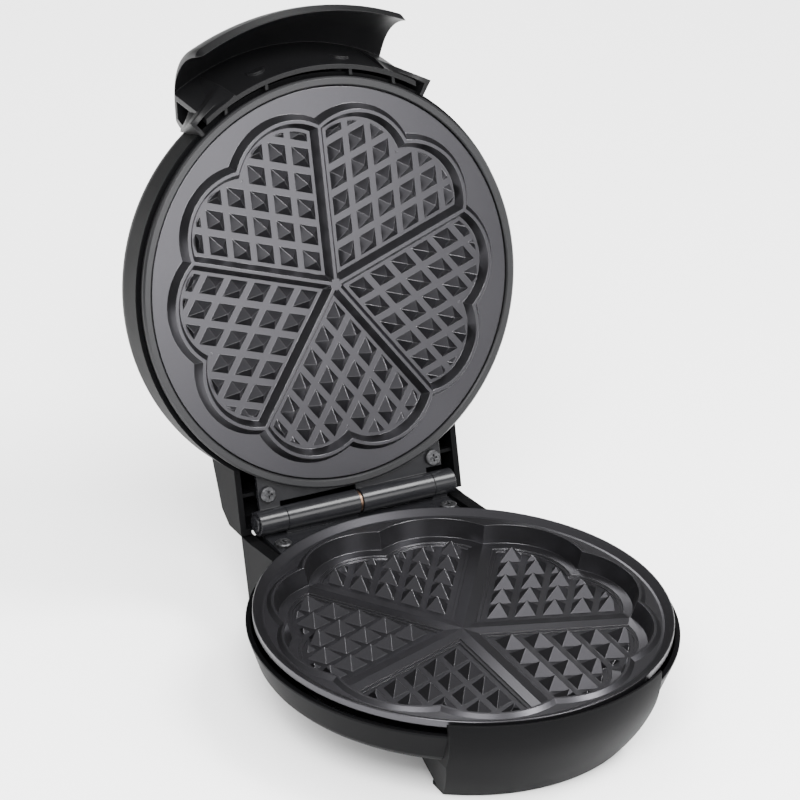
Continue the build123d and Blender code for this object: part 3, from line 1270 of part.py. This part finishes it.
# Leads
with BuildPart(base) as base_wires:
    lead_height = -LOWER_UNDER - HEATER_PROUD - HEATER_TUBE_R
    for hand in (-1, 1):
        add(
            wire(
                (hand * pin_across, pin_along + PIN_LENGTH, lead_height),
                (hand * pin_across, pin_along + 2 * PIN_LENGTH - WIRE_BEND, lead_height),
                (hand * WIRE_SPREAD, WIRE_DOOR_BACK, lead_height),
                (hand * WIRE_SPREAD, WIRE_DOOR_BACK, cover_top + TERMINALS[2]),
            )
        )
finish(base_wires, "base_wires")

with BuildPart(lid) as lid_wires:
    lead_height = UPPER_FACE + UPPER_THICK + HEATER_PROUD + HEATER_TUBE_R
    upper_lead_height = sheet_top + THERMOSTAT[2] / 2
    for hand in (-1, 1):
        add(
            wire(
                (hand * pin_across, pin_along + PIN_LENGTH, lead_height),
                (hand * pin_across, upper_wire_back, lead_height),
                (hand * pin_across, upper_wire_back, upper_lead_height),
                (hand * WIRE_SPREAD, WIRE_BEND - DIAL_FORWARD + THERMOSTAT[1], upper_lead_height),
                (hand * WIRE_SPREAD, THERMOSTAT[1] / 2 - DIAL_FORWARD, upper_lead_height),
            )
        )
        add(
            wire(
                (hand * LENS_AT[1][0], LENS_AT[1][1], LAMP_SPAN[0]),
                (hand * LENS_AT[1][0], LENS_AT[1][1], upper_lead_height - WIRE_BEND / 2),
                (hand * LENS_AT[1][0], -DIAL_FORWARD + LUG / 2, upper_lead_height - WIRE_BEND / 2),
                (hand * THERMOSTAT[0] / 2, -DIAL_FORWARD + LUG / 2, upper_lead_height - WIRE_BEND / 2),
            )
        )
finish(lid_wires, "lid_wires")
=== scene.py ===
import json
from math import cos, radians, sin

import bpy
from mathutils import Matrix, Vector


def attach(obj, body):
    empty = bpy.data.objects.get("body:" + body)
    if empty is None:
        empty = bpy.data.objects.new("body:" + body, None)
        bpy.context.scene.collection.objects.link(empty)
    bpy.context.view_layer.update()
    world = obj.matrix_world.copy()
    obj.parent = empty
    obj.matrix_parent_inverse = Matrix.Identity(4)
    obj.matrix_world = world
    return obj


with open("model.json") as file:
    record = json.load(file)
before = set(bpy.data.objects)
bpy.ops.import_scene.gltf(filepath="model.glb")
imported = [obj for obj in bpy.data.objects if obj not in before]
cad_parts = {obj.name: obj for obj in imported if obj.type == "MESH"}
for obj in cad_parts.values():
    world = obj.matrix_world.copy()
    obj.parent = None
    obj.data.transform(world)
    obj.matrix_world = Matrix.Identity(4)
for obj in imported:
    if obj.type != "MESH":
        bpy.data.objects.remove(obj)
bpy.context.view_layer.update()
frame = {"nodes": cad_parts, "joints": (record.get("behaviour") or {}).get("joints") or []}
bpy.ops.object.select_all(action="DESELECT")

# Camera: a long lens, set back from the open machine, above it and to its left, held a little askew.
# Its place and turn were fitted to the rims of both plates in the photograph.
camera_azimuth = radians(-29.4291)
camera_elevation = radians(27.7191)
camera_roll = radians(2.3422)
camera_distance = 2.21128
camera_target = Vector((0.0716597, 0.1410551, 0.047))
camera_back = Vector((
    sin(camera_azimuth) * cos(camera_elevation),
    -cos(camera_azimuth) * cos(camera_elevation),
    sin(camera_elevation),
))
camera_level = Vector((cos(camera_azimuth), sin(camera_azimuth), 0))
camera_plumb = camera_back.cross(camera_level)
camera_right = camera_level * cos(camera_roll) + camera_plumb * sin(camera_roll)
camera_up = camera_plumb * cos(camera_roll) - camera_level * sin(camera_roll)
camera_turn = Matrix((camera_right, camera_up, camera_back)).transposed().to_euler()
bpy.ops.object.camera_add(location=camera_target + camera_back * camera_distance, rotation=camera_turn)
camera = bpy.context.object
camera.name = "camera"
camera.data.sensor_width = 36
camera.data.lens = 199.10
camera.data.clip_end = 20
bpy.context.scene.camera = camera


# Floor: a broad, matt, nearly white table top that runs out to the horizon.
# A Value stands for a shader socket, so that sums and products of Values add Math nodes,
# and a Finish is one shader with the few patterns that this machine's surfaces are made from.
class Value:
    def __init__(self, finish, socket):
        self.finish = finish
        self.socket = socket

    def math(self, operation, *values):
        return self.finish.node("ShaderNodeMath", {"operation": operation}, dict(enumerate(values)))

    def __add__(self, other):
        return self.math("ADD", self, other)

    def __radd__(self, other):
        return self.math("ADD", other, self)

    def __sub__(self, other):
        return self.math("SUBTRACT", self, other)

    def __rsub__(self, other):
        return self.math("SUBTRACT", other, self)

    def __mul__(self, other):
        return self.math("MULTIPLY", self, other)

    def __rmul__(self, other):
        return self.math("MULTIPLY", other, self)


class Finish:
    def __init__(self, name):
        self.material = bpy.data.materials.new(name)
        self.material.use_nodes = True
        self.tree = self.material.node_tree
        self.shader = self.tree.nodes["Principled BSDF"]

    def put(self, socket, value):
        if isinstance(value, Value):
            self.tree.links.new(value.socket, socket)
        else:
            socket.default_value = value

    def node(self, kind, settings, values, output=0):
        made = self.tree.nodes.new(kind)
        for name, setting in settings.items():
            setattr(made, name, setting)
        for key, value in values.items():
            self.put(made.inputs[key], value)
        return Value(self, made.outputs[output])

    def noise(self, scale, detail=2.0, roughness=0.5):
        place = self.node("ShaderNodeTexCoord", {}, {}, "Object")
        values = {"Vector": place, "Scale": scale, "Detail": detail, "Roughness": roughness}
        return self.node("ShaderNodeTexNoise", {}, values, "Fac")

    def blend(self, mask, first, second):
        values = {0: mask, 6: self.colour(first), 7: self.colour(second)}
        return self.node("ShaderNodeMix", {"data_type": "RGBA"}, values, 2)

    def colour(self, value):
        return value if isinstance(value, Value) else (*value, 1)

    def spread(self, mask, low, high):
        return self.node("ShaderNodeMapRange", {}, {0: mask, 1: low, 2: high, 3: 0.0, 4: 1.0})

    def soft_edge(self, radius):
        """Normal that rolls over the sharp edges within a radius."""
        return self.node("ShaderNodeBevel", {"samples": 4}, {"Radius": radius})

    def edge_mask(self, rolled):
        """How far the rolled normal leaves the true one: 0 on flats, up to 1 along edges."""
        true_normal = self.node("ShaderNodeNewGeometry", {}, {}, "True Normal")
        values = {0: rolled, 1: true_normal}
        alike = self.node("ShaderNodeVectorMath", {"operation": "DOT_PRODUCT"}, values, "Value")
        return self.spread(1 - alike, 0.02, 0.3)

    def bump(self, height, depth, strength, normal):
        values = {"Height": height, "Distance": depth, "Strength": strength, "Normal": normal}
        return self.node("ShaderNodeBump", {}, values)

    def surface(self, **values):
        for name, value in values.items():
            self.put(self.shader.inputs[name.replace("_", " ")], value)
        return self.material


bpy.ops.mesh.primitive_plane_add(size=14, location=(0, 0, 0))
floor = bpy.context.object
floor.name = "floor"
floor_paint = Finish("floor_paint")
floor_white = (0.92, 0.92, 0.92, 1)
floor.data.materials.append(
    floor_paint.surface(Base_Color=floor_white, Roughness=1.0, Specular_IOR_Level=0.0)
)

# Surround: an even white room that lights the table top, but that shows in gloss only as dim walls
# below a brighter ceiling, so that black mouldings and dark plates stay black beside it.
surround = bpy.data.worlds.new("surround")
surround.use_nodes = True
bpy.context.scene.world = surround
sky_nodes = surround.node_tree.nodes
sky_links = surround.node_tree.links
sky_place = sky_nodes.new("ShaderNodeTexCoord")
sky_height = sky_nodes.new("ShaderNodeSeparateXYZ")
sky_ramp = sky_nodes.new("ShaderNodeMapRange")
sky_ramp.inputs["From Min"].default_value = 0.3
sky_ramp.inputs["From Max"].default_value = 1.0
sky_ramp.inputs["To Min"].default_value = 0.06
sky_ramp.inputs["To Max"].default_value = 0.9
sky_ray = sky_nodes.new("ShaderNodeLightPath")
sky_choice = sky_nodes.new("ShaderNodeMix")
sky_choice.inputs["A"].default_value = 2.6
sky_links.new(sky_place.outputs["Generated"], sky_height.inputs[0])
sky_links.new(sky_height.outputs["Z"], sky_ramp.inputs["Value"])
sky_links.new(sky_ray.outputs["Is Glossy Ray"], sky_choice.inputs["Factor"])
sky_links.new(sky_ramp.outputs[0], sky_choice.inputs["B"])
sky_links.new(sky_choice.outputs[0], sky_nodes["Background"].inputs["Strength"])
sky_nodes["Background"].inputs["Color"].default_value = (1, 1, 1, 1)


# Lights: soft square panels, hidden from the camera.
# The upright plate mirrors the near panel in front of it, the pyramids of the lower plate catch the key
# panel at the left, and the top and rim panels draw the edges from the right and from behind.
def soft_panel(name, place, aim, size, power):
    """Square soft light at a place, turned towards an aim."""
    turn = (Vector(place) - Vector(aim)).to_track_quat("Z", "Y").to_euler()
    bpy.ops.object.light_add(type="AREA", location=place, rotation=turn)
    light = bpy.context.object
    light.name = name
    light.visible_camera = False
    light.data.shape = "SQUARE"
    light.data.size = size
    light.data.energy = power


lid_middle = (0, 0.09, 0.17)
plate_middle = (0, -0.05, 0.04)
soft_panel("plate_panel", (0.22, -0.63, 0.34), lid_middle, 0.34, 3.4)
soft_panel("key_panel", (-0.55, -0.80, 1.15), plate_middle, 0.7, 42)
soft_panel("top_panel", (0.66, -0.40, 1.25), lid_middle, 0.5, 26)
soft_panel("rim_panel", (0.30, 0.85, 0.95), plate_middle, 0.35, 5)


def dress(material, *names):
    """Give CAD pieces a finish in place of the plain one they came with."""
    for name in names:
        piece = frame["nodes"][name]
        piece.data.materials.clear()
        piece.data.materials.append(material)


# Base casing, front apron and bottom cover: black moulded plastic with a fine, even grain,
# screwed together from below. The lid shell and the lamp carrier are the same plastic.
moulded = Finish("moulded_black")
moulded_grain = moulded.noise(1500, 3.0, 0.6)
moulded_patch = moulded.noise(35, 2.0)
moulded_edge = moulded.soft_edge(0.0005)
moulded_edge_highlight = moulded.edge_mask(moulded_edge)
moulded_black = moulded.surface(
    # Along the rolled edges the colour is blended half way to a paler grey: a painted highlight.
    Base_Color=moulded.blend(
        moulded_edge_highlight * 0.5,
        moulded.blend(moulded_patch, (0.0016, 0.0016, 0.0018), (0.0026, 0.0026, 0.0029)),
        (0.010, 0.010, 0.0104),
    ),
    Roughness=0.42 + moulded_patch * 0.1 + moulded_grain * 0.06,
    Specular_IOR_Level=0.04,
    Normal=moulded.bump(moulded_grain, 0.00003, 0.5, moulded_edge),
)
dress(moulded_black, "base_casing", "front_apron", "rear_bottom_cover", "lid_shell", "lamp_carrier")

# Front grip and dial: the same plastic polished a little smoother where fingers hold it,
# the grip screwed to the lid from inside and the dial pushed on its shaft.
smooth = Finish("smooth_black")
smooth_grain = smooth.noise(2400, 2.0)
smooth_smear = smooth.noise(60, 3.0)
smooth_edge = smooth.soft_edge(0.0006)
smooth_edge_highlight = smooth.edge_mask(smooth_edge)
smooth_black = smooth.surface(
    # Along the rolled edges the colour is blended half way to a paler grey: a painted highlight.
    Base_Color=smooth.blend(
        smooth_edge_highlight * 0.5,
        smooth.blend(smooth_smear, (0.0030, 0.0030, 0.0033), (0.0046, 0.0046, 0.0050)),
        (0.02, 0.02, 0.0205),
    ),
    Roughness=0.36 + smooth_smear * 0.1,
    Specular_IOR_Level=0.14,
    Normal=smooth.bump(smooth_grain, 0.00002, 0.4, smooth_edge),
)
dress(smooth_black, "lid_grip", "temperature_dial")

# Cooking plates: cast aluminium, blasted and sprayed with a dark non-stick coating.
# The coating has an orange-peel skin and fine pale specks. Along the castings' edges its colour is made
# much paler as a painted highlight, and it is a little smoother there.
coating = Finish("plate_coating")
coating_peel = coating.noise(900, 2.0)
coating_speck = coating.noise(4200, 1.0)
coating_cloud = coating.noise(22, 2.0)
coating_edge = coating.soft_edge(0.00032)
coating_edge_highlight = coating.edge_mask(coating_edge)
coating_flecks = coating.spread(coating_speck, 0.55, 0.75)
coated_plate = coating.surface(
    Base_Color=coating.blend(
        coating_edge_highlight,
        coating.blend(coating_flecks, (0.044, 0.043, 0.047), (0.060, 0.0585, 0.064)),
        (0.16, 0.158, 0.165),
    ),
    Metallic=0.93,
    Roughness=0.26 + coating_cloud * 0.06 - coating_edge_highlight * 0.06,
    Specular_IOR_Level=0.15,
    Normal=coating.bump(coating_peel, 0.00002, 0.3, coating_edge),
)
dress(coated_plate, "lower_plate", "upper_plate")

# Ring round the upper plate: a black moulding that frames the casting and carries it on a shelf.
ring_skin = Finish("ring_skin")
ring_cloud = ring_skin.noise(30, 2.0)
ring_edge = ring_skin.soft_edge(0.0004)
ring_black = ring_skin.surface(
    Base_Color=ring_skin.blend(ring_cloud, (0.016, 0.016, 0.017), (0.022, 0.022, 0.023)),
    Metallic=0.5,
    Roughness=0.30 + ring_cloud * 0.08,
    Specular_IOR_Level=0.3,
    Normal=ring_skin.bump(ring_skin.noise(1200), 0.00002, 0.3, ring_edge),
)
dress(ring_black, "lid_ring")

# Hinge: steel leaves rolled round a riveted pin, stoved gloss black, and a copper-coloured washer
# in the gap between the two long barrels.
enamel = Finish("hinge_enamel")
enamel_wave = enamel.noise(140, 2.0)
enamel_edge = enamel.soft_edge(0.0004)
hinge_enamel = enamel.surface(
    Base_Color=enamel.blend(enamel_wave, (0.006, 0.006, 0.007), (0.010, 0.010, 0.011)),
    Roughness=0.16 + enamel_wave * 0.12,
    Specular_IOR_Level=0.25,
    Normal=enamel.bump(enamel_wave, 0.00004, 0.3, enamel_edge),
)
dress(hinge_enamel, "lower_hinge_leaf", "upper_hinge_leaf", "hinge_pin")
copper = Finish("copper_washer")
copper_tarnish = copper.noise(700, 3.0)
copper_metal = copper.surface(
    Base_Color=copper.blend(copper_tarnish, (0.22, 0.135, 0.09), (0.13, 0.08, 0.055)),
    Metallic=1.0,
    Roughness=0.32 + copper_tarnish * 0.15,
)
dress(copper_metal, "hinge_washer")

# Screws: blackened steel with a cross recess, their blacking worn off in small patches.
blackened = Finish("blackened_steel")
blackened_wear = blackened.noise(900, 3.0)
blackened_edge = blackened.soft_edge(0.0003)
screw_steel = blackened.surface(
    Base_Color=blackened.blend(
        blackened.spread(blackened_wear, 0.45, 0.7), (0.045, 0.045, 0.047), (0.10, 0.10, 0.105)
    ),
    Metallic=0.9,
    Roughness=0.34 + blackened_wear * 0.2,
    Normal=blackened.bump(blackened_wear, 0.00002, 0.3, blackened_edge),
)
dress(screw_steel, *[name for name in frame["nodes"] if name.endswith("_screws")])

# Feet and cord bush: black rubber with a dull skin, the feet pushed into their plates by a stem.
rubber = Finish("black_rubber")
rubber_grain = rubber.noise(1100, 3.0)
black_rubber = rubber.surface(
    Base_Color=rubber.blend(rubber_grain, (0.008, 0.008, 0.008), (0.014, 0.014, 0.014)),
    Roughness=0.75 + rubber_grain * 0.1,
    Specular_IOR_Level=0.25,
    Normal=rubber.bump(rubber_grain, 0.00004, 0.5, rubber.soft_edge(0.0004)),
)
dress(black_rubber, "front_feet", "rear_feet", "cord_gland")

# Dial marks: six numbers and the strokes between them, printed in pale ink on the lid round the dial,
# and an ink-filled bar in the dial's pointer groove.
# All are laid out flat round the dial's axis, then the scale is pressed down on the lid's dome.
dial_joint = next(joint for joint in frame["joints"] if joint["name"] == "dial_turn")
dial_spot = Vector(dial_joint["pos_m"])
lid_out = -Vector(dial_joint["axis"]).normalized()
lid_side = Vector((1, 0, 0))
dial_place = Matrix((lid_side, lid_out.cross(lid_side), lid_out)).transposed().to_4x4()
dial_place.translation = dial_spot
dial_corners = frame["nodes"]["temperature_dial"].data.vertices
dial_top = max((corner.co - dial_spot).dot(lid_out) for corner in dial_corners)
ink = Finish("scale_ink")
ink_speck = ink.noise(2600, 2.0)
scale_ink = ink.surface(
    Base_Color=ink.blend(ink_speck, (0.62, 0.62, 0.60), (0.50, 0.50, 0.49)),
    Roughness=0.5 + ink_speck * 0.2,
)
scale_turn = 270
top_number = 5
number_radius = 0.0258
number_size = 0.0046
stroke_steps = 10
stroke_radius = 0.0208
stroke_width = 0.0005
stroke_ratio = 3.6
stroke_corner = 0.00022
ink_depth = 0.00016
marks = []
bpy.ops.object.select_all(action="DESELECT")
for number in range(top_number + 1):
    turn = radians(scale_turn * number / top_number)
    bpy.ops.object.text_add(location=(number_radius * sin(turn), number_radius * cos(turn), dial_top))
    figure = bpy.context.object
    figure.data.body = str(number)
    figure.data.size = number_size
    figure.data.align_x = "CENTER"
    figure.data.align_y = "CENTER"
    bpy.ops.object.convert(target="MESH")
    marks.append(bpy.context.object)
bpy.ops.object.select_all(action="DESELECT")
bpy.ops.mesh.primitive_plane_add(size=stroke_width, location=(0, stroke_radius, dial_top))
stroke = bpy.context.object
bpy.ops.object.transform_apply(location=True, rotation=True, scale=True)
bpy.ops.object.mode_set(mode="EDIT")
bpy.ops.mesh.select_all(action="SELECT")
bpy.ops.transform.resize(value=(1, stroke_ratio, 1), center_override=(0, stroke_radius, dial_top))
bpy.ops.mesh.bevel(affect="VERTICES", offset=stroke_corner, segments=4)
bpy.ops.object.mode_set(mode="OBJECT")
for step in range(stroke_steps + 1):
    stroke_copy = stroke.copy()
    stroke_copy.data = stroke.data.copy()
    bpy.context.collection.objects.link(stroke_copy)
    stroke_copy.rotation_euler.z = -radians(scale_turn * step / stroke_steps)
    marks.append(stroke_copy)
bpy.data.objects.remove(stroke)
for mark in marks:
    mark.select_set(True)
bpy.context.view_layer.objects.active = marks[0]
bpy.ops.object.transform_apply(location=True, rotation=True, scale=True)
bpy.ops.object.join()
dial_scale = bpy.context.object
dial_scale.name = "dial_scale"
dial_scale.matrix_world = dial_place
press = dial_scale.modifiers.new("press", "SHRINKWRAP")
press.target = frame["nodes"]["lid_shell"]
press.wrap_method = "PROJECT"
press.use_project_z = True
press.use_negative_direction = True
press.use_positive_direction = False
bpy.ops.object.modifier_apply(modifier="press")
film = dial_scale.modifiers.new("film", "SOLIDIFY")
film.thickness = ink_depth
film.offset = 0
bpy.ops.object.modifier_apply(modifier="film")
bpy.ops.object.transform_apply(location=True, rotation=True, scale=True)
pointer_size = (0.0016, 0.0122, 0.0006)
pointer_middle = (0, 0.0065, dial_top - 0.0004)
pointer_edge = 0.00018
bpy.ops.object.select_all(action="DESELECT")
bpy.ops.mesh.primitive_cube_add(size=1, location=pointer_middle, scale=pointer_size)
dial_pointer = bpy.context.object
dial_pointer.name = "dial_pointer"
bpy.ops.object.transform_apply(location=True, rotation=True, scale=True)
bpy.ops.object.mode_set(mode="EDIT")
bpy.ops.mesh.select_all(action="SELECT")
bpy.ops.mesh.bevel(offset=pointer_edge, segments=3)
bpy.ops.object.mode_set(mode="OBJECT")
dial_pointer.matrix_world = dial_place
bpy.ops.object.transform_apply(location=True, rotation=True, scale=True)
for piece, body in ((dial_scale, "lid"), (dial_pointer, "dial")):
    piece.data.materials.clear()
    piece.data.materials.append(scale_ink)
    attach(piece, body)

# Lamps: clear red and green lenses snapped into the lid over two small glass lamps.
red_tint = Finish("red_lens")
red_depth = red_tint.noise(300, 1.0)
dress(
    red_tint.surface(
        Base_Color=red_tint.blend(red_depth, (0.45, 0.015, 0.012), (0.32, 0.010, 0.008)),
        Roughness=0.08 + red_depth * 0.05,
    ),
    "power_lens",
)
green_tint = Finish("green_lens")
green_depth = green_tint.noise(300, 1.0)
dress(
    green_tint.surface(
        Base_Color=green_tint.blend(green_depth, (0.02, 0.32, 0.05), (0.015, 0.22, 0.035)),
        Roughness=0.08 + green_depth * 0.05,
    ),
    "ready_lens",
)

# Sheet pieces inside: bright rolled aluminium for the reflectors, the thermostat's case,
# the dial's shaft and the lamps' caps.
sheet = Finish("bright_sheet")
sheet_roll = sheet.noise(500, 3.0)
bright_sheet = sheet.surface(
    Base_Color=sheet.blend(sheet_roll, (0.62, 0.62, 0.63), (0.74, 0.74, 0.75)),
    Metallic=1.0,
    Roughness=0.28 + sheet_roll * 0.15,
)
dress(bright_sheet, "lower_reflector", "upper_reflector", "lid_thermostat", "dial_shaft", "indicator_lamps")

# Heaters and fuse: steel tubes blued and dulled by heat, lying in the rails behind the plates.
heater_skin = Finish("heater_steel")
heater_heat = heater_skin.noise(120, 3.0)
heater_steel = heater_skin.surface(
    Base_Color=heater_skin.blend(heater_heat, (0.20, 0.17, 0.15), (0.32, 0.30, 0.29)),
    Metallic=0.9,
    Roughness=0.45 + heater_heat * 0.15,
)
dress(heater_steel, "lower_heater", "upper_heater", "thermal_fuse")

# Limiter and terminal block: pressed ceramic, pale and faintly flecked.
ceramic_body = Finish("ceramic")
ceramic_fleck = ceramic_body.noise(800, 2.0)
ceramic = ceramic_body.surface(
    Base_Color=ceramic_body.blend(ceramic_fleck, (0.70, 0.67, 0.60), (0.60, 0.57, 0.50)),
    Roughness=0.5 + ceramic_fleck * 0.2,
)
dress(ceramic, "limiter", "terminal_block")

# Leads: stranded wire in woven glass sleeves, from the terminals and the thermostat to the heaters.
sleeve_yarn = Finish("lead_sleeve")
sleeve_weave = sleeve_yarn.noise(1500, 2.0)
lead_sleeve = sleeve_yarn.surface(
    Base_Color=sleeve_yarn.blend(sleeve_weave, (0.62, 0.61, 0.56), (0.45, 0.44, 0.40)),
    Roughness=0.8,
    Normal=sleeve_yarn.bump(sleeve_weave, 0.0001, 0.6, sleeve_yarn.soft_edge(0.0002)),
)
dress(lead_sleeve, "base_wires", "lid_wires")
